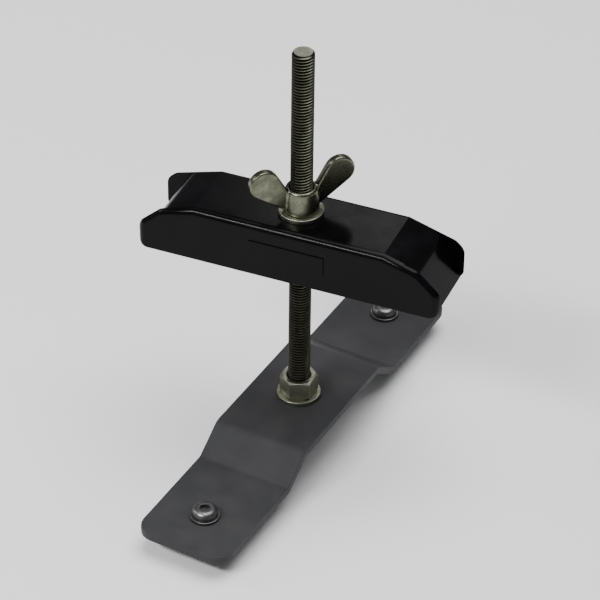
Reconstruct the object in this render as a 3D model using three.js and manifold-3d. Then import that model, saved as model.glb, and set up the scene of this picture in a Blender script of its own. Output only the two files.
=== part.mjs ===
// Spare tire carrier for a slatted roof rack, in millimetres.
// A stepped steel strip bridges two slats and is bolted to them through its feet. A threaded rod
// stands on its raised middle. The wheel lies over the rod, and a folded clamp plate is pressed
// down on its disc by a wing nut.
// +Z is up, +Y runs along the strip and +X runs along the slats. The origin is on the rod's axis,
// level with the underside of the channel nuts, which are the lowest point.
import * as THREE from "three";
import { mergeVertices } from "three/addons/utils/BufferGeometryUtils.js";
import Module from "manifold-3d";

// base strip, bent from flat bar
const stripLength = 256;
const stripWidth = 54;
const stripThickness = 4;
const stripCorner = 10; // radius of the feet's corners, seen from above
const platformLength = 84; // between the upper folds, on the top face
const platformRise = 12; // height of the platform above the feet
const rampRun = 18; // length along Y that each ramp takes
const bendInside = 4; // inside radius of each fold

// feet, each held to its slat by a button-head screw and a nut that slides in the slat's channel
const footScrewSpacing = 202; // one slat pitch
const footScrewSize = 8;
const footHoleClearance = 1;
const footScrewLength = 16; // under the head
const footScrewHead = 14;
const footScrewHeadHeight = 4.4;
const footScrewSocket = 5; // across the flats of the key
const footScrewSocketDepth = 2.6;
const footScrewCrown = 4; // radius of the flat top round the socket
const footScrewRim = 1; // height of the head's straight rim
const footScrewTip = 1; // chamfer on the screw's end
const footWasherOuter = 16;
const footWasherThickness = 1.6;
const slatLip = 3; // lip of the slat between the foot and the channel nut
const channelNutLength = 26; // along the slat
const channelNutWidth = 16;
const channelNutHeight = 8;
const channelNutEdge = 1; // chamfer round its top and bottom

// rod and its nuts
const rodSize = 12;
const rodAbovePlatform = 218;
const rodStandOut = 1.5; // thread past the lower nut
const rodChamfer = 1;
const rodHoleClearance = 1;
const threadClearance = 0.3; // from the rod to each nut's bore, on the radius
const washerBoreClearance = 0.5; // from the rod to each washer's bore, on the radius
const washerOuter = 24;
const washerThickness = 2.5;
const nutFlats = 18;
const nutHeight = 10.8;
const thinNutHeight = 6;
const nutFaceInset = 0.2; // each nut's flat faces stop this far inside its flats
const nutCornerAngle = 30; // degrees, of the cone that turns the nuts' corners off

// clamp plate, a shallow tray folded from sheet and turned upside down
const clampHeight = 120; // from the platform's top to the plate's top face
const clampTurn = 6.5; // degrees about the rod
const clampWidth = 42;
const clampTopLength = 106;
const clampDepth = 31; // top face to the flanges' lower edges
const clampSheet = 3;
const clampFold = 4; // outside radius of the long folds
const wingSlope = 16.5; // degrees below level
const flangeLength = 169;
const frontEarRun = 12.5; // slanted corner of the front flange, along its length
const rearEarRun = 5;
const earSlant = 42; // degrees below level
const earRadius = 7; // rounds the slanted corners
const flangeFootRadius = 6; // lower corners of both flanges
const endPanelInset = 0.5; // from the flanges' ends to the end panel's foot
const endPanelLean = 62; // degrees from level
const endPanelBend = 10; // outside radius of the bend into the end panel
const clampHoleClearance = 1.5;
const padLength = 42; // plain raised pad pressed into the front flange
const padHeight = 11;
const padRise = 0.6;

// wing nut
const wingTurn = 50; // degrees about the rod
const wingSpan = 58;
const wingHeight = 28;
const wingThickness = 4.5;
const wingLobe = 8.2; // radius of each wing's round end
const hubBase = 9.5; // radii of the hub
const hubTop = 8.6;
const hubHeight = 14;
const hubRim = 2; // height of the hub's straight foot
const hubBevel = 1; // round its top
const wingStart = 2; // distance from the axis at which each wing starts, inside the hub
const wingEdge = 0.8; // radius along each wing's edges
const lobeStop = 151; // degrees round each lobe, at which its outline turns back to the hub

const roundSteps = 40; // facets round the rod, bores and washers
const bendSteps = 6; // facets in each fold
const edgeSteps = 4; // facets round a rounded edge
const lobeSteps = 14; // facets round a wing's end
const mergeDistance = 1e-4; // corners closer than this are one
const overcut = 1; // how far a cutting shape runs past what it cuts
const skirt = 10; // how far the clamp plate's walls are drawn past their lower edge, then cut level

const rad = Math.PI / 180;
const zinc = { color: 0x8f8f84, roughness: 0.38, metalness: 1 };
const blackCoat = { color: 0x1b1b1d, roughness: 0.5, metalness: 0 };
const stripCoat = { color: 0x38383a, roughness: 0.5, metalness: 0 };

// heights of the stack, from the ground up
const footUnder = channelNutHeight + slatLip;
const footTop = footUnder + stripThickness;
const platformTop = footTop + platformRise;
const platformUnder = platformTop - stripThickness;
const rodTopZ = platformTop + rodAbovePlatform;
const rodBottomZ = platformUnder - washerThickness - thinNutHeight - rodStandOut;
const clampTopZ = platformTop + clampHeight;

const wasm = await Module();
wasm.setup();

// a closed geometry as a solid that can be cut and joined
function solid(geometry) {
  const bare = geometry.clone();
  bare.deleteAttribute("normal");
  bare.deleteAttribute("uv");
  const merged = mergeVertices(bare, mergeDistance);
  return new wasm.Manifold(
    new wasm.Mesh({
      numProp: 3,
      vertProperties: merged.attributes.position.array,
      triVerts: new Uint32Array(merged.index.array),
    }),
  );
}

function geometryOf(made) {
  const mesh = made.getMesh();
  const geometry = new THREE.BufferGeometry();
  geometry.setAttribute("position", new THREE.BufferAttribute(mesh.vertProperties, 3));
  geometry.setIndex(new THREE.BufferAttribute(mesh.triVerts, 1));
  const flat = geometry.toNonIndexed();
  flat.computeVertexNormals();
  return flat;
}

function named(name, made, finish) {
  const mesh = new THREE.Mesh(geometryOf(made), new THREE.MeshStandardMaterial(finish));
  mesh.name = name;
  return mesh;
}

// an outline in X and Y, pushed up along Z from the given height
function plate(shape, height, z = 0) {
  const geometry = new THREE.ExtrudeGeometry(shape, {
    depth: height,
    bevelEnabled: false,
    curveSegments: 8,
  });
  return solid(geometry.translate(0, 0, z));
}

function box(sizeX, sizeY, sizeZ, x, y, z) {
  return solid(new THREE.BoxGeometry(sizeX, sizeY, sizeZ).translate(x, y, z));
}

function cylinder(radius, z0, z1, steps = roundSteps) {
  const geometry = new THREE.CylinderGeometry(radius, radius, z1 - z0, steps);
  return solid(geometry.rotateX(Math.PI / 2).translate(0, 0, (z0 + z1) / 2));
}

// a turned piece from its profile of radius and height, which starts and ends on the axis
function turned(profile, steps = roundSteps) {
  const points = profile.map(([r, z]) => new THREE.Vector2(r, z));
  return solid(new THREE.LatheGeometry(points, steps).rotateX(Math.PI / 2));
}

// the points of a path whose corners are rounded to the given radii
function roundedPath(corners) {
  const points = [];
  corners.forEach(([x, y, radius = 0], i) => {
    const before = corners[(i + corners.length - 1) % corners.length];
    const after = corners[(i + 1) % corners.length];
    const toBefore = new THREE.Vector2(before[0] - x, before[1] - y).normalize();
    const toAfter = new THREE.Vector2(after[0] - x, after[1] - y).normalize();
    if (!radius) {
      points.push(new THREE.Vector2(x, y));
      return;
    }
    const half = Math.acos(toBefore.dot(toAfter)) / 2;
    const middle = toBefore.clone().add(toAfter).normalize();
    const centre = middle.clone().multiplyScalar(radius / Math.sin(half));
    const from = toBefore.clone().multiplyScalar(radius / Math.tan(half)).sub(centre);
    const to = toAfter.clone().multiplyScalar(radius / Math.tan(half)).sub(centre);
    const sweep = Math.atan2(from.cross(to), from.dot(to));
    for (let step = 0; step <= bendSteps; step += 1) {
      const spoke = from.clone().rotateAround(new THREE.Vector2(), (sweep * step) / bendSteps);
      points.push(spoke.add(centre).add(new THREE.Vector2(x, y)));
    }
  });
  return points;
}

// mirrors the right half of a profile to close it
function mirrored(half) {
  const left = half.map(([x, y, radius]) => [-x, y, radius]).reverse();
  return roundedPath([...half, ...left]);
}

function hexagon(flats) {
  const corners = [0, 1, 2, 3, 4, 5].map((i) => {
    const angle = (i * 60 + 30) * rad;
    return new THREE.Vector2(Math.cos(angle), Math.sin(angle)).multiplyScalar(
      flats / Math.sqrt(3),
    );
  });
  return new THREE.Shape(corners);
}

// a hexagon whose corners are turned off at both ends
function chamferedHex(flats, height) {
  const corner = flats / Math.sqrt(3);
  const face = flats / 2 - nutFaceInset;
  const drop = (corner - face) * Math.tan(nutCornerAngle * rad);
  const low = [[0, 0], [face, 0], [corner, drop]];
  const high = [[corner, height - drop], [face, height], [0, height]];
  return plate(hexagon(flats), height).intersect(turned([...low, ...high]));
}

// ---- base strip ----
// The folds' corners in Y and Z along the top face, from the middle outwards.
const upperFold = platformLength / 2;
const lowerFold = upperFold + rampRun;
const rampAngle = Math.atan2(platformRise, rampRun);
// The lower face's folds move in by this much, so that the bar keeps its thickness.
const foldShift = stripThickness * Math.tan(rampAngle / 2);

function baseStrip() {
  const bendOutside = bendInside + stripThickness;
  const end = stripLength / 2;
  const topHalf = [
    [end, footTop],
    [lowerFold, footTop, bendInside],
    [upperFold, platformTop, bendOutside],
  ];
  const underHalf = [
    [upperFold - foldShift, platformUnder, bendInside],
    [lowerFold - foldShift, footUnder, bendOutside],
    [end, footUnder],
  ];
  const mirror = (half) => half.map(([y, z, radius]) => [-y, z, radius]).reverse();
  const side = roundedPath([
    ...topHalf,
    ...mirror(topHalf),
    ...mirror(underHalf),
    ...underHalf,
  ]);
  const profile = new THREE.Shape(side);
  // The profile is drawn in Y and Z, and its extrusion runs along X.
  const bent = new THREE.ExtrudeGeometry(profile, { depth: stripWidth, bevelEnabled: false });
  bent.rotateX(Math.PI / 2).rotateZ(Math.PI / 2).translate(-stripWidth / 2, 0, 0);
  const halfWidth = stripWidth / 2;
  const outline = roundedPath([
    [halfWidth, -end, stripCorner],
    [halfWidth, end, stripCorner],
    [-halfWidth, end, stripCorner],
    [-halfWidth, -end, stripCorner],
  ]);
  const blank = plate(new THREE.Shape(outline), platformTop + overcut);
  const rodHole = cylinder((rodSize + rodHoleClearance) / 2, 0, platformTop + overcut);
  let made = solid(bent).intersect(blank).subtract(rodHole);
  for (const y of [-footScrewSpacing / 2, footScrewSpacing / 2]) {
    const hole = cylinder((footScrewSize + footHoleClearance) / 2, 0, footTop + overcut);
    made = made.subtract(hole.translate([0, y, 0]));
  }
  return made;
}

// ---- rod, nuts and washers ----
function threadedRod() {
  const r = rodSize / 2;
  return turned([
    [0, rodBottomZ],
    [r - rodChamfer, rodBottomZ],
    [r, rodBottomZ + rodChamfer],
    [r, rodTopZ - rodChamfer],
    [r - rodChamfer, rodTopZ],
    [0, rodTopZ],
  ]);
}

function washer(outer, bore, thickness, z) {
  const disc = cylinder(outer / 2, z, z + thickness);
  return disc.subtract(cylinder(bore / 2, z - overcut, z + thickness + overcut));
}

function rodWasher(z) {
  return washer(washerOuter, rodSize + 2 * washerBoreClearance, washerThickness, z);
}

function rodNut(height, z) {
  const bore = cylinder(rodSize / 2 + threadClearance, -overcut, height + overcut);
  return chamferedHex(nutFlats, height).subtract(bore).translate([0, 0, z]);
}

// ---- foot hardware ----
function footWasher(y) {
  const bore = footScrewSize + footHoleClearance;
  return washer(footWasherOuter, bore, footWasherThickness, footTop).translate([0, y, 0]);
}

// A domed head with a hexagon socket, over a plain shank that reaches into the channel nut.
function footScrew(y) {
  const headUnder = footTop + footWasherThickness;
  const headTop = headUnder + footScrewHeadHeight;
  const end = headUnder - footScrewLength;
  const r = footScrewSize / 2;
  const tip = footScrewTip;
  const rim = footScrewHead / 2;
  const domeFoot = headUnder + footScrewRim;
  const dome = [];
  for (let step = 0; step <= bendSteps; step += 1) {
    const angle = (step / bendSteps) * 90 * rad;
    const radius = footScrewCrown + (rim - footScrewCrown) * Math.cos(angle);
    dome.push([radius, domeFoot + (headTop - domeFoot) * Math.sin(angle)]);
  }
  const shank = [[0, end], [r - tip, end], [r, end + tip], [r, headUnder]];
  const head = turned([...shank, [rim, headUnder], ...dome, [0, headTop]]);
  const socketFloor = headTop - footScrewSocketDepth;
  const socket = plate(hexagon(footScrewSocket), footScrewSocketDepth + overcut, socketFloor);
  return head.subtract(socket).translate([0, y, 0]);
}

// A block that slides in the slat's channel, with the screw's hole through it.
function channelNut(y) {
  const halfX = channelNutLength / 2;
  const halfY = channelNutWidth / 2;
  const edge = channelNutEdge;
  const side = new THREE.Shape([
    new THREE.Vector2(-halfX + edge, 0),
    new THREE.Vector2(halfX - edge, 0),
    new THREE.Vector2(halfX, edge),
    new THREE.Vector2(halfX, channelNutHeight - edge),
    new THREE.Vector2(halfX - edge, channelNutHeight),
    new THREE.Vector2(-halfX + edge, channelNutHeight),
    new THREE.Vector2(-halfX, channelNutHeight - edge),
    new THREE.Vector2(-halfX, edge),
  ]);
  const geometry = new THREE.ExtrudeGeometry(side, { depth: channelNutWidth, bevelEnabled: false });
  const block = solid(geometry.rotateX(Math.PI / 2).translate(0, halfY, 0));
  const bore = cylinder(footScrewSize / 2 + threadClearance, -overcut, channelNutHeight + overcut);
  return block.subtract(bore).translate([0, y, 0]);
}

// ---- clamp plate, drawn with its top face at zero ----
const topHalfLength = clampTopLength / 2;
const flangeEnd = flangeLength / 2;
const wingTan = Math.tan(wingSlope * rad);

// an outline in X and Z, pushed along Y and centred on it, with its long edges rounded
function across(points, width, edge = 0) {
  const geometry = new THREE.ExtrudeGeometry(new THREE.Shape(points), {
    depth: width - 2 * edge,
    bevelEnabled: edge > 0,
    bevelThickness: edge,
    bevelSize: edge,
    bevelOffset: -edge,
    bevelSegments: edgeSteps,
  });
  geometry.translate(0, 0, -(width - 2 * edge) / 2).rotateX(Math.PI / 2);
  return solid(geometry);
}

// the depth of the wing's slope at a distance from the rod
function wingZ(x) {
  return -(x - topHalfLength) * wingTan;
}

// The outline of a flange: level, down the wing's slope, down a slanted ear, and straight down.
function flangeOutline(earRun) {
  const earStart = flangeEnd - earRun;
  const earZ = wingZ(earStart) - earRun * Math.tan(earSlant * rad);
  return mirrored([
    [flangeEnd, -clampDepth - skirt],
    [flangeEnd, earZ, earRadius],
    [earStart, wingZ(earStart), earRadius],
    [topHalfLength, 0],
  ]);
}

// The web runs over the top, down both wings and into the leaning end panels. Its inner face is
// the same path moved in by the sheet's thickness.
function webOutline(inset) {
  const lean = endPanelLean * rad;
  const foot = flangeEnd - endPanelInset;
  const leanTan = Math.tan(lean);
  const meet = (foot * leanTan - clampDepth - topHalfLength * wingTan) / (leanTan - wingTan);
  const turn = (lean - wingSlope * rad) / 2;
  const along = wingSlope * rad + turn; // the bisector of the bend leans by this much
  const innerMeet = meet - (inset * Math.sin(along)) / Math.cos(turn);
  const innerMeetZ = wingZ(meet) - (inset * Math.cos(along)) / Math.cos(turn);
  const below = clampDepth + skirt + innerMeetZ;
  return mirrored([
    [innerMeet + below / leanTan, -clampDepth - skirt],
    [innerMeet, innerMeetZ, endPanelBend - inset],
    [topHalfLength - inset * Math.tan((wingSlope / 2) * rad), -inset],
  ]);
}

function clampPlate() {
  const inside = clampWidth - 2 * clampSheet;
  const web = across(webOutline(0), inside + clampSheet);
  const hollow = across(webOutline(clampSheet), inside);
  const reach = 2 * flangeLength;
  const deep = 2 * (clampDepth + skirt);
  const sheetMiddle = (clampWidth - clampSheet) / 2;
  let made = web;
  for (const y of [-sheetMiddle, sheetMiddle]) {
    made = made.add(box(reach, clampSheet, deep, 0, y, 0));
  }
  const half = (y) => box(reach, clampWidth, deep * 2, 0, y, 0);
  const frontShape = across(flangeOutline(frontEarRun), clampWidth, clampFold);
  const rearShape = across(flangeOutline(rearEarRun), clampWidth, clampFold);
  const front = frontShape.intersect(half(-clampWidth / 2));
  const rear = rearShape.intersect(half(clampWidth / 2));
  const feet = roundedPath([
    [flangeEnd, -clampDepth, flangeFootRadius],
    [flangeEnd, clampDepth],
    [-flangeEnd, clampDepth],
    [-flangeEnd, -clampDepth, flangeFootRadius],
  ]);
  const pad = box(padLength, clampSheet, padHeight, 0, 0, 0);
  const padY = -clampWidth / 2 - padRise + clampSheet / 2;
  const hole = cylinder((rodSize + clampHoleClearance) / 2, -clampDepth, overcut);
  return made
    .intersect(front.add(rear))
    .subtract(hollow)
    .intersect(across(feet, clampWidth))
    .add(pad.translate([0, padY, -clampDepth / 2]))
    .subtract(hole);
}

// ---- wing nut, drawn standing at zero ----
function wingNut() {
  const bore = cylinder(rodSize / 2 + threadClearance, -overcut, hubHeight + overcut);
  const hub = turned([
    [0, 0],
    [hubBase, 0],
    [hubBase, hubRim],
    [hubTop, hubHeight - hubBevel],
    [hubTop - hubBevel, hubHeight],
    [0, hubHeight],
  ]);
  const lobeX = wingSpan / 2 - wingLobe;
  const lobeZ = wingHeight - wingLobe;
  const under = Math.atan2(lobeZ - wingLobe, lobeX - hubTop);
  const outline = [
    new THREE.Vector2(wingStart, hubBevel),
    new THREE.Vector2(hubBase - hubBevel, hubBevel),
  ];
  const start = under - 90 * rad;
  const stop = lobeStop * rad;
  for (let step = 0; step <= lobeSteps; step += 1) {
    const angle = start + ((stop - start) * step) / lobeSteps;
    const point = new THREE.Vector2(Math.cos(angle), Math.sin(angle));
    outline.push(point.multiplyScalar(wingLobe).add(new THREE.Vector2(lobeX, lobeZ)));
  }
  outline.push(new THREE.Vector2(hubTop - hubBevel, hubHeight - hubBevel));
  outline.push(new THREE.Vector2(wingStart, hubHeight - hubBevel));
  const wing = across(outline, wingThickness, wingEdge);
  return hub.add(wing).add(wing.rotate([0, 0, 180])).subtract(bore);
}

const carrier = new THREE.Group();

carrier.add(named("base_strip", baseStrip(), stripCoat));
carrier.add(named("threaded_rod", threadedRod(), zinc));
carrier.add(named("platform_washer", rodWasher(platformTop), zinc));
carrier.add(named("platform_nut", rodNut(nutHeight, platformTop + washerThickness), zinc));
const lowerWasherZ = platformUnder - washerThickness;
carrier.add(named("under_washer", rodWasher(lowerWasherZ), zinc));
carrier.add(named("under_nut", rodNut(thinNutHeight, lowerWasherZ - thinNutHeight), zinc));

for (const [place, side] of [["front", -1], ["rear", 1]]) {
  const y = (side * footScrewSpacing) / 2;
  carrier.add(named(`${place}_foot_screw`, footScrew(y), zinc));
  carrier.add(named(`${place}_foot_washer`, footWasher(y), zinc));
  carrier.add(named(`${place}_channel_nut`, channelNut(y), zinc));
}

const clampGroup = new THREE.Group();
clampGroup.position.z = clampTopZ;
clampGroup.rotation.z = clampTurn * rad;
clampGroup.add(named("clamp_plate", clampPlate(), blackCoat));
carrier.add(clampGroup);

carrier.add(named("clamp_washer", rodWasher(clampTopZ), zinc));

const wingGroup = new THREE.Group();
wingGroup.position.z = clampTopZ + washerThickness;
wingGroup.rotation.z = wingTurn * rad;
wingGroup.add(named("wing_nut", wingNut(), zinc));
carrier.add(wingGroup);

export default carrier;
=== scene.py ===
import math

import bpy
from mathutils import Matrix, Vector


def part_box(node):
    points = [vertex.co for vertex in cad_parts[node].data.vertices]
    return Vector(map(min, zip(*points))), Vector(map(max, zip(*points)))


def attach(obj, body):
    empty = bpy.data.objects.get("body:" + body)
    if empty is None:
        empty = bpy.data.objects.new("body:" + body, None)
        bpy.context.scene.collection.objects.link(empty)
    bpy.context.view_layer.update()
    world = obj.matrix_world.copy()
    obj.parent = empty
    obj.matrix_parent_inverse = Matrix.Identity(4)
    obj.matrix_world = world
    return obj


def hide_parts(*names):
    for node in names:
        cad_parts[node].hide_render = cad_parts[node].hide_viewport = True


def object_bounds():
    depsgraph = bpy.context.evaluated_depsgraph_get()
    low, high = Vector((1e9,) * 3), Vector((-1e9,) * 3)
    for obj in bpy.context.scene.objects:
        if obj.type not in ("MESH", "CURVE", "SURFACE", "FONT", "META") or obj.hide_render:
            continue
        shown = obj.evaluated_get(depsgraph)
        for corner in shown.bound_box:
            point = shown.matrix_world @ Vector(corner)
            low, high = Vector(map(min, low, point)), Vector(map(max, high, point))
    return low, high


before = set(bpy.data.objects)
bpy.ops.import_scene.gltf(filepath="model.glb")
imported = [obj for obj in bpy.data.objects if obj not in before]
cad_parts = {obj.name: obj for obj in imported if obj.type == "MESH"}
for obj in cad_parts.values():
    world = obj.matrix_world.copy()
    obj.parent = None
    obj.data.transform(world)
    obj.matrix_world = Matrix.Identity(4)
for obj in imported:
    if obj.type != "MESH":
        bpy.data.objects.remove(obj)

cadBounds = [list(corner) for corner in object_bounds()]
mm = 0.001
overrun = 0.01 * mm  # how far a filling shape stops short of the faces that it shares

# handling pieces

def deselectAll():
    if bpy.context.object and bpy.context.object.mode != "OBJECT":
        bpy.ops.object.mode_set(mode="OBJECT")
    bpy.ops.object.select_all(action="DESELECT")


def makeActive(piece):
    deselectAll()
    piece.select_set(True)
    bpy.context.view_layer.objects.active = piece


def editFaces(piece, wanted):
    # opens the piece for editing, with only the wanted faces selected
    makeActive(piece)
    bpy.ops.object.mode_set(mode="EDIT")
    bpy.ops.mesh.select_mode(type="FACE")
    bpy.ops.mesh.select_all(action="DESELECT")
    bpy.ops.object.mode_set(mode="OBJECT")
    for face in piece.data.polygons:
        face.select = bool(wanted(face.center, face.normal))
    bpy.ops.object.mode_set(mode="EDIT")


def closeEdit():
    bpy.ops.object.mode_set(mode="OBJECT")


def applyModifier(piece, kind, **settings):
    makeActive(piece)
    modifier = piece.modifiers.new(kind.lower(), kind)
    for key, value in settings.items():
        setattr(modifier, key, value)
    bpy.ops.object.modifier_apply(modifier=modifier.name)


def cutWith(piece, tool, operation="DIFFERENCE"):
    applyModifier(piece, "BOOLEAN", operation=operation, solver="EXACT", object=tool)
    bpy.data.objects.remove(tool)


def settle(piece):
    # puts the piece's place and turn into its mesh
    makeActive(piece)
    bpy.ops.object.transform_apply(location=True, rotation=True, scale=True)


def addRound(radius, low, high, x=0.0, y=0.0, sides=64):
    # an upright cylinder from one height to another
    deselectAll()
    bpy.ops.mesh.primitive_cylinder_add(
        vertices=sides, radius=radius, depth=high - low, location=(x, y, (low + high) / 2))
    piece = bpy.context.object
    settle(piece)
    return piece


def growEnd(piece, end, rise, scale):
    # draws the flat end (1 is the top, -1 the bottom) out by rise, to scale times its width
    heights = [corner.co.z for corner in piece.data.vertices]
    level = max(heights) if end > 0 else min(heights)
    editFaces(piece, lambda at, normal: normal.z * end > 0.9 and abs(at.z - level) < 1e-6)
    bpy.ops.mesh.extrude_region_move(TRANSFORM_OT_translate={"value": (0, 0, rise * end)})
    bpy.ops.transform.resize(value=(scale, scale, 1))
    closeEdit()


def roundEdges(piece, width, segments=3, angle=28):
    applyModifier(piece, "BEVEL", width=width, segments=segments, limit_method="ANGLE",
                  angle_limit=math.radians(angle), harden_normals=False)


def smoothFaces(piece, angle=32, broad=None):
    # broad is an area: an edge between two faces larger than it stays crisp if it bends at all
    makeActive(piece)
    bpy.ops.object.shade_smooth_by_angle(angle=math.radians(angle))
    if broad:
        faces = {}
        for face in piece.data.polygons:
            for key in face.edge_keys:
                faces.setdefault(key, []).append(face)
        for edge in piece.data.edges:
            sides = faces.get(edge.key, [])
            if len(sides) == 2 and min(side.area for side in sides) > broad:
                if sides[0].normal.dot(sides[1].normal) < math.cos(math.radians(8)):
                    edge.use_edge_sharp = True
    applyModifier(piece, "WEIGHTED_NORMAL", keep_sharp=True, weight=60)


def duplicate(piece, name, shift):
    twin = piece.copy()
    twin.data = piece.data.copy()
    twin.name = name
    bpy.context.collection.objects.link(twin)
    twin.location = shift
    settle(twin)
    return twin


def finishPiece(piece, name, body, nodes, material, endMaterial=None):
    # endMaterial goes on the faces that look straight up or down
    piece.name = name
    piece.data.name = name
    piece.data.materials.clear()
    piece.data.materials.append(material)
    if endMaterial:
        piece.data.materials.append(endMaterial)
    for face in piece.data.polygons:
        face.material_index = 1 if endMaterial and abs(face.normal.z) > 0.95 else 0
    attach(piece, body)
    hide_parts(*nodes)
    print("piece", name, len(piece.data.polygons), "faces")


# materials

def linearColour(hexColour):
    values = [int(hexColour[i:i + 2], 16) / 255 for i in (1, 3, 5)]
    return [v / 12.92 if v <= 0.04045 else ((v + 0.055) / 1.055) ** 2.4 for v in values] + [1.0]


def newMaterial(name):
    material = bpy.data.materials.new(name)
    material.use_nodes = True
    return material, material.node_tree.nodes["Principled BSDF"]


def addNode(material, kind, links=(), inputs=(), **settings):
    # links are (socket of this node, node it comes from, that node's socket)
    node = material.node_tree.nodes.new(kind)
    for key, value in settings.items():
        setattr(node, key, value)
    for key, value in dict(inputs).items():
        node.inputs[key].default_value = value
    for here, source, there in links:
        material.node_tree.links.new(source.outputs[there], node.inputs[here])
    return node


def join(material, source, there, target, here):
    material.node_tree.links.new(source.outputs[there], target.inputs[here])


def setRamp(ramp, stops):
    # stops are (position, hex colour)
    elements = ramp.color_ramp.elements
    while len(elements) < len(stops):
        elements.new(0.5)
    for element, (position, colour) in zip(elements, stops):
        element.position = position
        element.color = linearColour(colour)


# Powder coat, sprayed dry and baked: a satin black skin with a fine orange peel about 1.5 mm
# across, a little thinner and shinier in places.
def makePowderCoat(name, coat):
    material, shader = newMaterial(name)
    place = addNode(material, "ShaderNodeTexCoord")
    clouds = addNode(material, "ShaderNodeTexNoise", [("Vector", place, "Object")],
                     {"Scale": 1 / (coat["cloudSize"] * mm), "Detail": 3.0, "Roughness": 0.55})
    tone = addNode(material, "ShaderNodeValToRGB", [("Fac", clouds, "Fac")])
    setRamp(tone, [(0.35, coat["dark"]), (0.7, coat["light"])])
    join(material, tone, "Color", shader, "Base Color")
    gloss = addNode(material, "ShaderNodeMapRange", [("Value", clouds, "Fac")],
                    {"From Min": 0.3, "From Max": 0.7,
                     "To Min": coat["roughness"] - 0.05, "To Max": coat["roughness"] + 0.05})
    join(material, gloss, "Result", shader, "Roughness")
    peel = addNode(material, "ShaderNodeTexNoise", [("Vector", place, "Object")],
                   {"Scale": 1 / (coat["peelSize"] * mm), "Detail": 2.0, "Roughness": 0.5})
    bump = addNode(material, "ShaderNodeBump", [("Height", peel, "Fac")],
                   {"Strength": coat["peelStrength"], "Distance": 0.05 * mm})
    join(material, bump, "Normal", shader, "Normal")
    shader.inputs["Metallic"].default_value = 0.0
    shader.inputs["IOR"].default_value = 1.5
    shader.inputs["Specular IOR Level"].default_value = coat["gloss"]
    return material


# Zinc plate on turned or forged steel: a bright grey metal with a faint olive cast from its
# passivate, in soft clouds, and fine rubbing marks. On a thread, painted shade darkens the
# valleys.
# The marks are drawn about half a millimetre across, coarser than real ones, so that they show.
def makeZincPlate(name, plate):
    material, shader = newMaterial(name)
    place = addNode(material, "ShaderNodeTexCoord")
    clouds = addNode(material, "ShaderNodeTexNoise", [("Vector", place, "Object")],
                     {"Scale": 1 / (plate["cloudSize"] * mm), "Detail": 4.0, "Roughness": 0.6})
    tone = addNode(material, "ShaderNodeValToRGB", [("Fac", clouds, "Fac")])
    setRamp(tone, [(0.32, plate["dark"]), (0.5, plate["middle"]), (0.72, plate["light"])])
    colour = tone
    # painted shade: inside the inner radius the colour is a near-black, fading to the plate's
    # tone by the outer radius
    if "shadeRadii" in plate:
        flat = addNode(material, "ShaderNodeMapping", [("Vector", place, "Object")],
                       {"Scale": (1, 1, 0)})
        radius = addNode(material, "ShaderNodeVectorMath", [(0, flat, "Vector")],
                         operation="LENGTH")
        low, high = plate["shadeRadii"]
        shadeMask = addNode(material, "ShaderNodeMapRange", [("Value", radius, "Value")],
                         {"From Min": low, "From Max": high})
        paintedShade = addNode(material, "ShaderNodeMix", [("Factor", shadeMask, "Result")],
                        data_type="RGBA")
        paintedShade.inputs["A"].default_value = linearColour(plate["paintedShade"])
        join(material, tone, "Color", paintedShade, "B")
        colour = paintedShade
    join(material, colour, "Result" if colour != tone else "Color", shader, "Base Color")
    gloss = addNode(material, "ShaderNodeMapRange", [("Value", clouds, "Fac")],
                    {"From Min": 0.3, "From Max": 0.7,
                     "To Min": plate["roughness"] + 0.07, "To Max": plate["roughness"] - 0.06})
    join(material, gloss, "Result", shader, "Roughness")
    grain = addNode(material, "ShaderNodeTexNoise", [("Vector", place, "Object")],
                    {"Scale": 1 / (plate["grainSize"] * mm), "Detail": 3.0, "Roughness": 0.6})
    bump = addNode(material, "ShaderNodeBump", [("Height", grain, "Fac")],
                   {"Strength": plate["grainStrength"], "Distance": 0.03 * mm})
    join(material, bump, "Normal", shader, "Normal")
    shader.inputs["Metallic"].default_value = 1.0
    return material


# the clamp plate's coat is near black and the smoother one, so each fold draws a thin bright line
clampCoat = makePowderCoat("black powder coated steel", {
    "dark": "#050506", "light": "#08080a", "roughness": 0.2, "gloss": 0.09,
    "cloudSize": 14, "peelSize": 1.5, "peelStrength": 0.2})
# the strip's coat is duller and greyer, and hardly mirrors anything
stripCoat = makePowderCoat("charcoal powder coated steel", {
    "dark": "#313133", "light": "#383839", "roughness": 0.5, "gloss": 0.14,
    "cloudSize": 18, "peelSize": 1.5, "peelStrength": 0.25})
# turned nuts and washers: the palest metal here, with even, slightly blurred reflections
zincPlate = makeZincPlate("olive zinc plated steel", {
    "dark": "#86877a", "middle": "#98998a", "light": "#aaab9b", "roughness": 0.36,
    "cloudSize": 4, "grainSize": 0.5, "grainStrength": 0.3})
# the wing nut's forged skin is darker and a little uneven
forgedPlate = makeZincPlate("zinc plated forged steel", {
    "dark": "#56574a", "middle": "#646557", "light": "#747566", "roughness": 0.28,
    "cloudSize": 5, "grainSize": 0.6, "grainStrength": 0.22})
# the rolled thread reads dark from a distance, with rubbed crests and painted shade between them
threadPlate = makeZincPlate("zinc plated rolled thread", {
    "dark": "#45453a", "middle": "#535348", "light": "#636357", "roughness": 0.3,
    "shadeRadii": (5.1 * mm, 5.9 * mm), "paintedShade": "#0e0e0b",
    "cloudSize": 6, "grainSize": 0.4, "grainStrength": 0.2})
# the foot screws and their washers are plated grey, without the olive cast
darkPlate = makeZincPlate("dark zinc plated steel", {
    "dark": "#585858", "middle": "#686867", "light": "#7a7a79", "roughness": 0.38,
    "cloudSize": 3, "grainSize": 0.5, "grainStrength": 0.25})
print("materials made")


# threads

threadForm = {"depth": 0.6134, "crest": 1 / 8, "angle": 60}  # shares of the pitch, and degrees


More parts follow.
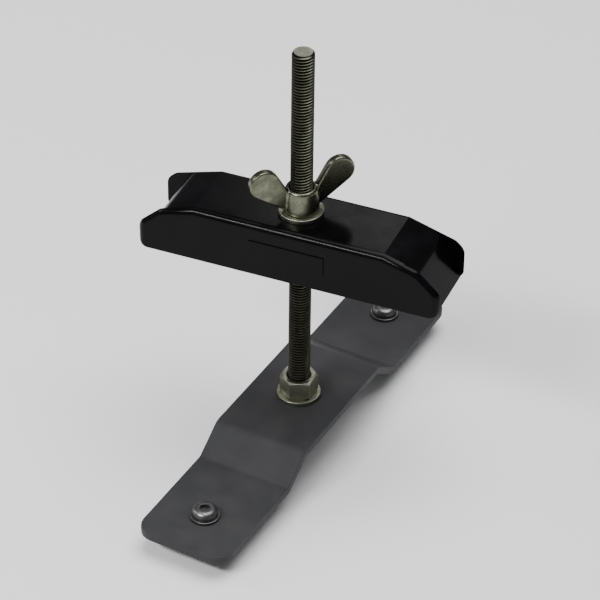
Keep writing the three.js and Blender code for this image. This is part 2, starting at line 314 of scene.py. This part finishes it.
def drawThread(diameter, pitch, low, high, sides=28):
    # one pitch of the thread's profile is drawn as a line, then wound up the axis
    depth = threadForm["depth"] * pitch
    crest = threadForm["crest"] * pitch
    flank = depth * math.tan(math.radians(threadForm["angle"] / 2))
    root = pitch - crest - 2 * flank
    turns = math.ceil((high - low) / pitch) + 3
    spare = pitch / 4  # left at both ends for the chamfering bar to take off
    deselectAll()
    bpy.ops.mesh.primitive_plane_add(size=pitch, location=(0, 0, 0))
    thread = bpy.context.object
    bpy.ops.object.mode_set(mode="EDIT")
    bpy.ops.mesh.select_mode(type="VERT")
    bpy.ops.mesh.select_all(action="SELECT")
    bpy.ops.mesh.merge(type="CENTER")
    bpy.ops.transform.translate(value=(diameter / 2 - depth, 0, low - 1.5 * pitch))
    for along, out in ((root, 0), (flank, depth), (crest, 0), (flank, -depth)):
        bpy.ops.mesh.extrude_region_move(TRANSFORM_OT_translate={"value": (out, 0, along)})
    closeEdit()
    applyModifier(thread, "SCREW", axis="Z", angle=2 * math.pi, screw_offset=pitch,
                  iterations=turns, steps=sides, render_steps=sides)
    makeActive(thread)
    bpy.ops.object.mode_set(mode="EDIT")
    bpy.ops.mesh.select_all(action="SELECT")
    bpy.ops.mesh.remove_doubles(threshold=2e-6)
    for level, away in ((low - spare, 1), (high + spare, -1)):
        bpy.ops.mesh.select_all(action="SELECT")
        bpy.ops.mesh.bisect(plane_co=(0, 0, level), plane_no=(0, 0, away),
                            use_fill=True, clear_inner=True)
    bpy.ops.mesh.select_all(action="SELECT")
    bpy.ops.mesh.normals_make_consistent(inside=False)
    closeEdit()
    return thread


def chamferThread(thread, diameter, low, high, chamfer):
    # a slightly larger bar with chamfered ends, kept where the two overlap
    radius = diameter / 2 + 0.1 * mm
    bar = addRound(radius, low + chamfer, high - chamfer, sides=56)
    for end in (1, -1):
        growEnd(bar, end, chamfer, (radius - chamfer) / radius)
    cutWith(thread, bar, "INTERSECT")
    # the cut's shortest edges are merged, and its many-sided faces are made triangles
    makeActive(thread)
    bpy.ops.object.mode_set(mode="EDIT")
    bpy.ops.mesh.select_all(action="SELECT")
    bpy.ops.mesh.remove_doubles(threshold=4e-6)
    bpy.ops.mesh.quads_convert_to_tris(quad_method="BEAUTY", ngon_method="BEAUTY")
    closeEdit()


rod = {"diameter": 11.98 * mm, "chamferFrom": 12 * mm, "pitch": 1.75 * mm, "chamfer": 1.1 * mm}
rodLow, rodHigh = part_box("threaded_rod")
rodThread = drawThread(rod["diameter"], rod["pitch"], rodLow.z, rodHigh.z)
chamferThread(rodThread, rod["chamferFrom"], rodLow.z, rodHigh.z, rod["chamfer"])
smoothFaces(rodThread, 35)
finishPiece(rodThread, "rod_thread", "base", ["threaded_rod"], threadPlate, zincPlate)
print("rod thread cut")


# nuts and washers

washer = {"outer": 12 * mm, "bore": 6.3 * mm, "edge": 0.35 * mm}


def makeWasher(low, high, size):
    ring = addRound(size["outer"], low, high, sides=72)
    editFaces(ring, lambda at, normal: abs(normal.z) > 0.9)
    scale = size["bore"] / size["outer"]
    bpy.ops.mesh.inset(thickness=size["outer"] * (1 - scale), depth=0)
    bpy.ops.mesh.bridge_edge_loops()
    bpy.ops.mesh.select_all(action="SELECT")
    bpy.ops.mesh.normals_make_consistent(inside=False)
    closeEdit()
    roundEdges(ring, size["edge"], 3)
    smoothFaces(ring)
    return ring


low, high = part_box("platform_washer")
platformWasher = makeWasher(low.z, high.z, washer)
for name, node, body in (("under_disc", "under_washer", "base"),
                         ("clamp_disc", "clamp_washer", "clamp_carriage")):
    shift = (0, 0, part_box(node)[0].z - low.z)
    finishPiece(duplicate(platformWasher, name, shift), name, body, [node], zincPlate)
finishPiece(platformWasher, "platform_disc", "base", ["platform_washer"], zincPlate)

nut = {"flats": 18 * mm, "face": 8.7 * mm, "bore": 6.15 * mm, "countersink": 0.7 * mm,
       "edge": 0.2 * mm}


def makeNut(low, high, size):
    corner = size["flats"] / math.sqrt(3)
    drop = (corner - size["face"]) * math.tan(math.radians(30))
    hexagon = addRound(corner, low, high, sides=6)
    cone = addRound(corner, low + drop, high - drop, sides=96)
    for end in (1, -1):
        growEnd(cone, end, drop, size["face"] / corner)
    cutWith(hexagon, cone, "INTERSECT")
    sink = size["countersink"]
    drill = addRound(size["bore"], low + sink, high - sink, sides=64)
    for end in (1, -1):
        growEnd(drill, end, sink, (size["bore"] + sink) / size["bore"])
        growEnd(drill, end, sink, 1.0)
    cutWith(hexagon, drill)
    roundEdges(hexagon, size["edge"], 2)
    smoothFaces(hexagon, 28)
    return hexagon


for name, node in (("platform_hex_nut", "platform_nut"), ("under_hex_nut", "under_nut")):
    low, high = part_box(node)
    finishPiece(makeNut(low.z, high.z, nut), name, "base", [node], zincPlate)
print("nuts and washers made")


# foot screws, their washers and the nuts in the slats

footScrew = {"diameter": 8 * mm, "pitch": 1.25 * mm, "head": 7 * mm, "rim": 0.9 * mm,
             "crown": 3.9 * mm, "rings": 7, "key": 5 * mm, "keyDepth": 2.6 * mm,
             "edge": 0.2 * mm, "tip": 0.9 * mm}
footWasher = {"outer": 8 * mm, "bore": 4.3 * mm, "edge": 0.25 * mm}


def makeFootScrew(low, under, top, size):
    # the head is drawn up in rings to its flat crown, then the key's socket is sunk into it
    radius, crown, rim, rings = size["head"], size["crown"], size["rim"], size["rings"]
    head = addRound(radius, under, under + rim, sides=64)
    before = radius
    for ring in range(1, rings + 1):
        angle = math.radians(90 * ring / rings)
        wide = crown + (radius - crown) * math.cos(angle)
        rise = math.sin(angle) - math.sin(math.radians(90 * (ring - 1) / rings))
        growEnd(head, 1, (top - under - rim) * rise, wide / before)
        before = wide
    socket = addRound(size["key"] / math.sqrt(3), top - size["keyDepth"], top + mm, sides=6)
    cutWith(head, socket)
    roundEdges(head, size["edge"], 2, 40)
    shank = drawThread(size["diameter"], size["pitch"], low, under + 0.2 * mm, 24)
    chamferThread(shank, size["diameter"], low, under + 0.3 * mm, size["tip"])
    makeActive(head)
    shank.select_set(True)
    bpy.ops.object.join()
    smoothFaces(head, 35)
    return head


low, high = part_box("front_foot_screw")
footY = (low.y + high.y) / 2
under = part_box("front_foot_washer")[1].z
frontScrew = makeFootScrew(low.z, under, high.z, footScrew)
washerLow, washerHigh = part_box("front_foot_washer")
frontRing = makeWasher(washerLow.z, washerHigh.z, footWasher)
for place, y in (("front", footY), ("rear", -footY)):
    screw = duplicate(frontScrew, place + "_button_screw", (0, y, 0))
    finishPiece(screw, place + "_button_screw", "base", [place + "_foot_screw"],
                darkPlate)
    ring = duplicate(frontRing, place + "_foot_ring", (0, y, 0))
    finishPiece(ring, place + "_foot_ring", "base", [place + "_foot_washer"],
                darkPlate)
bpy.data.objects.remove(frontScrew)
bpy.data.objects.remove(frontRing)


def mergedCopy(node):
    # a copy of a CAD solid, with its loose triangles merged and its flat faces made whole
    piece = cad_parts[node].copy()
    piece.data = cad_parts[node].data.copy()
    piece.parent = None
    bpy.context.collection.objects.link(piece)
    makeActive(piece)
    bpy.ops.object.mode_set(mode="EDIT")
    bpy.ops.mesh.select_all(action="SELECT")
    bpy.ops.mesh.remove_doubles(threshold=5e-6)
    bpy.ops.mesh.dissolve_limited(angle_limit=math.radians(0.5))
    closeEdit()
    return piece


def copyOfNode(node, size):
    # the CAD solid's own shape, with its sharp edges rounded over
    piece = mergedCopy(node)
    roundEdges(piece, size["edge"], 3, size["sharp"])
    smoothFaces(piece, 40, size["broad"])
    return piece


slatNut = {"edge": 0.3 * mm, "sharp": 35, "broad": 60 * mm * mm}
for place in ("front", "rear"):
    node = place + "_channel_nut"
    finishPiece(copyOfNode(node, slatNut), place + "_slat_nut", "base", [node], zincPlate)
print("foot hardware made")


# strip and clamp plate: edges sharper than so many degrees are rounded, and creases between faces
# broader than so much stay crisp

strip = {"edge": 0.5 * mm, "sharp": 50, "broad": 60 * mm * mm}
clampPlate = {"edge": 0.45 * mm, "sharp": 50, "broad": 60 * mm * mm}
finishPiece(copyOfNode("base_strip", strip), "foot_strip", "base", ["base_strip"],
            stripCoat)
finishPiece(copyOfNode("clamp_plate", clampPlate), "clamp_tray", "clamp", ["clamp_plate"],
            clampCoat)
print("strip and plate made")


# wing nut

# One forged piece: the solid is filled at its bore, rebuilt as an even skin and softened, so that
# the wings run into the hub in fillets, and then its foot is faced and its bore is drilled.
wing = {"plug": 7.2 * mm, "skin": 0.42 * mm, "soften": 9, "hubHeight": 14 * mm,
        "faced": 0.25 * mm, "bore": 6.15 * mm, "sink": 0.9 * mm}


def makeWingNut(node, size):
    low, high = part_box(node)
    hubTop = low.z + size["hubHeight"]
    faced = size["faced"]
    forged = mergedCopy(node)
    cutWith(forged, addRound(size["plug"], low.z + overrun, hubTop - overrun), "UNION")
    applyModifier(forged, "REMESH", mode="VOXEL", voxel_size=size["skin"])
    applyModifier(forged, "SMOOTH", factor=0.5, iterations=size["soften"])
    makeActive(forged)
    bpy.ops.object.mode_set(mode="EDIT")
    bpy.ops.mesh.select_all(action="SELECT")
    bpy.ops.mesh.bisect(plane_co=(0, 0, low.z + faced), plane_no=(0, 0, 1), use_fill=True,
                        clear_inner=True)
    closeEdit()
    # the faced foot goes back down to the washer
    editFaces(forged, lambda at, normal: normal.z < -0.99 and at.z < low.z + 1.2 * faced)
    bpy.ops.mesh.extrude_region_move(TRANSFORM_OT_translate={"value": (0, 0, -faced)})
    closeEdit()
    bore, sink = size["bore"], size["sink"]
    drill = addRound(bore, low.z + sink, hubTop - sink, sides=64)
    for end in (1, -1):
        growEnd(drill, end, sink, (bore + sink) / bore)
        growEnd(drill, end, sink, 1.0)
    cutWith(forged, drill)
    smoothFaces(forged, 40)
    return forged


finishPiece(makeWingNut("wing_nut", wing), "forged_wing_nut", "wing", ["wing_nut"],
            forgedPlate)
print("wing nut made")


# floor, light and camera

def addLight(name, size, power, place, target):
    light = bpy.data.lights.new(name, "AREA")
    light.shape = "RECTANGLE"
    light.size, light.size_y = size
    light.energy = power
    lamp = bpy.data.objects.new(name, light)
    bpy.context.collection.objects.link(lamp)
    lamp.location = place
    lamp.rotation_euler = (Vector(target) - Vector(place)).to_track_quat("-Z", "Y").to_euler()
    return lamp


studio = {"floor": 12, "floorDrop": 0.2 * mm, "ambient": 0.2}
middle = (Vector(cadBounds[0]) + Vector(cadBounds[1])) / 2
deselectAll()
bpy.ops.mesh.primitive_plane_add(size=studio["floor"], location=(0, 0, -studio["floorDrop"]))
floor = bpy.context.object
floor.name = "studio_floor"
floorMaterial, floorShader = newMaterial("matt studio floor")
floorShader.inputs["Base Color"].default_value = linearColour("#f2f2f2")
floorShader.inputs["Roughness"].default_value = 0.9
floorShader.inputs["Specular IOR Level"].default_value = 0.1
floor.data.materials.append(floorMaterial)

world = bpy.data.worlds.new("studio")
world.use_nodes = True
world.node_tree.nodes["Background"].inputs["Color"].default_value = linearColour("#f4f5f6")
world.node_tree.nodes["Background"].inputs["Strength"].default_value = studio["ambient"]
bpy.context.scene.world = world

addLight("softbox_above", (2.2, 2.2), 90, (0.3, 0.4, 2.7), middle)
addLight("softbox_rear", (0.45, 0.35), 1.1, (-0.6, 1.5, 1.3), middle)
addLight("softbox_left", (0.7, 0.9), 9, (-1.7, -0.5, 1.0), middle)
addLight("strip_light_front", (0.8, 0.14), 24, (-0.42, -1.25, 1.35), middle)

camera = {"azimuth": 28.37, "elevation": 35.74, "distance": 1.6229, "lens": 186, "roll": 0.8,
          "aimLower": 26 * mm}
lens = bpy.data.cameras.new("camera")
lens.lens = camera["lens"]
lens.sensor_width = 36
lens.clip_end = 50
eye = bpy.data.objects.new("camera", lens)
bpy.context.collection.objects.link(eye)
azimuth, elevation = math.radians(camera["azimuth"]), math.radians(camera["elevation"])
away = Vector((math.sin(azimuth) * math.cos(elevation), -math.cos(azimuth) * math.cos(elevation),
               math.sin(elevation)))
eye.location = middle + away * camera["distance"]
upward = Vector((-away.x * math.tan(elevation), -away.y * math.tan(elevation),
                 math.cos(elevation)))
away = (eye.location - middle + upward * camera["aimLower"]).normalized()
aim = (-away).to_track_quat("-Z", "Y").to_matrix().to_4x4()
eye.rotation_euler = (aim @ Matrix.Rotation(math.radians(camera["roll"]), 4, "Z")).to_euler()
bpy.context.scene.camera = eye
print("studio set")

deselectAll()
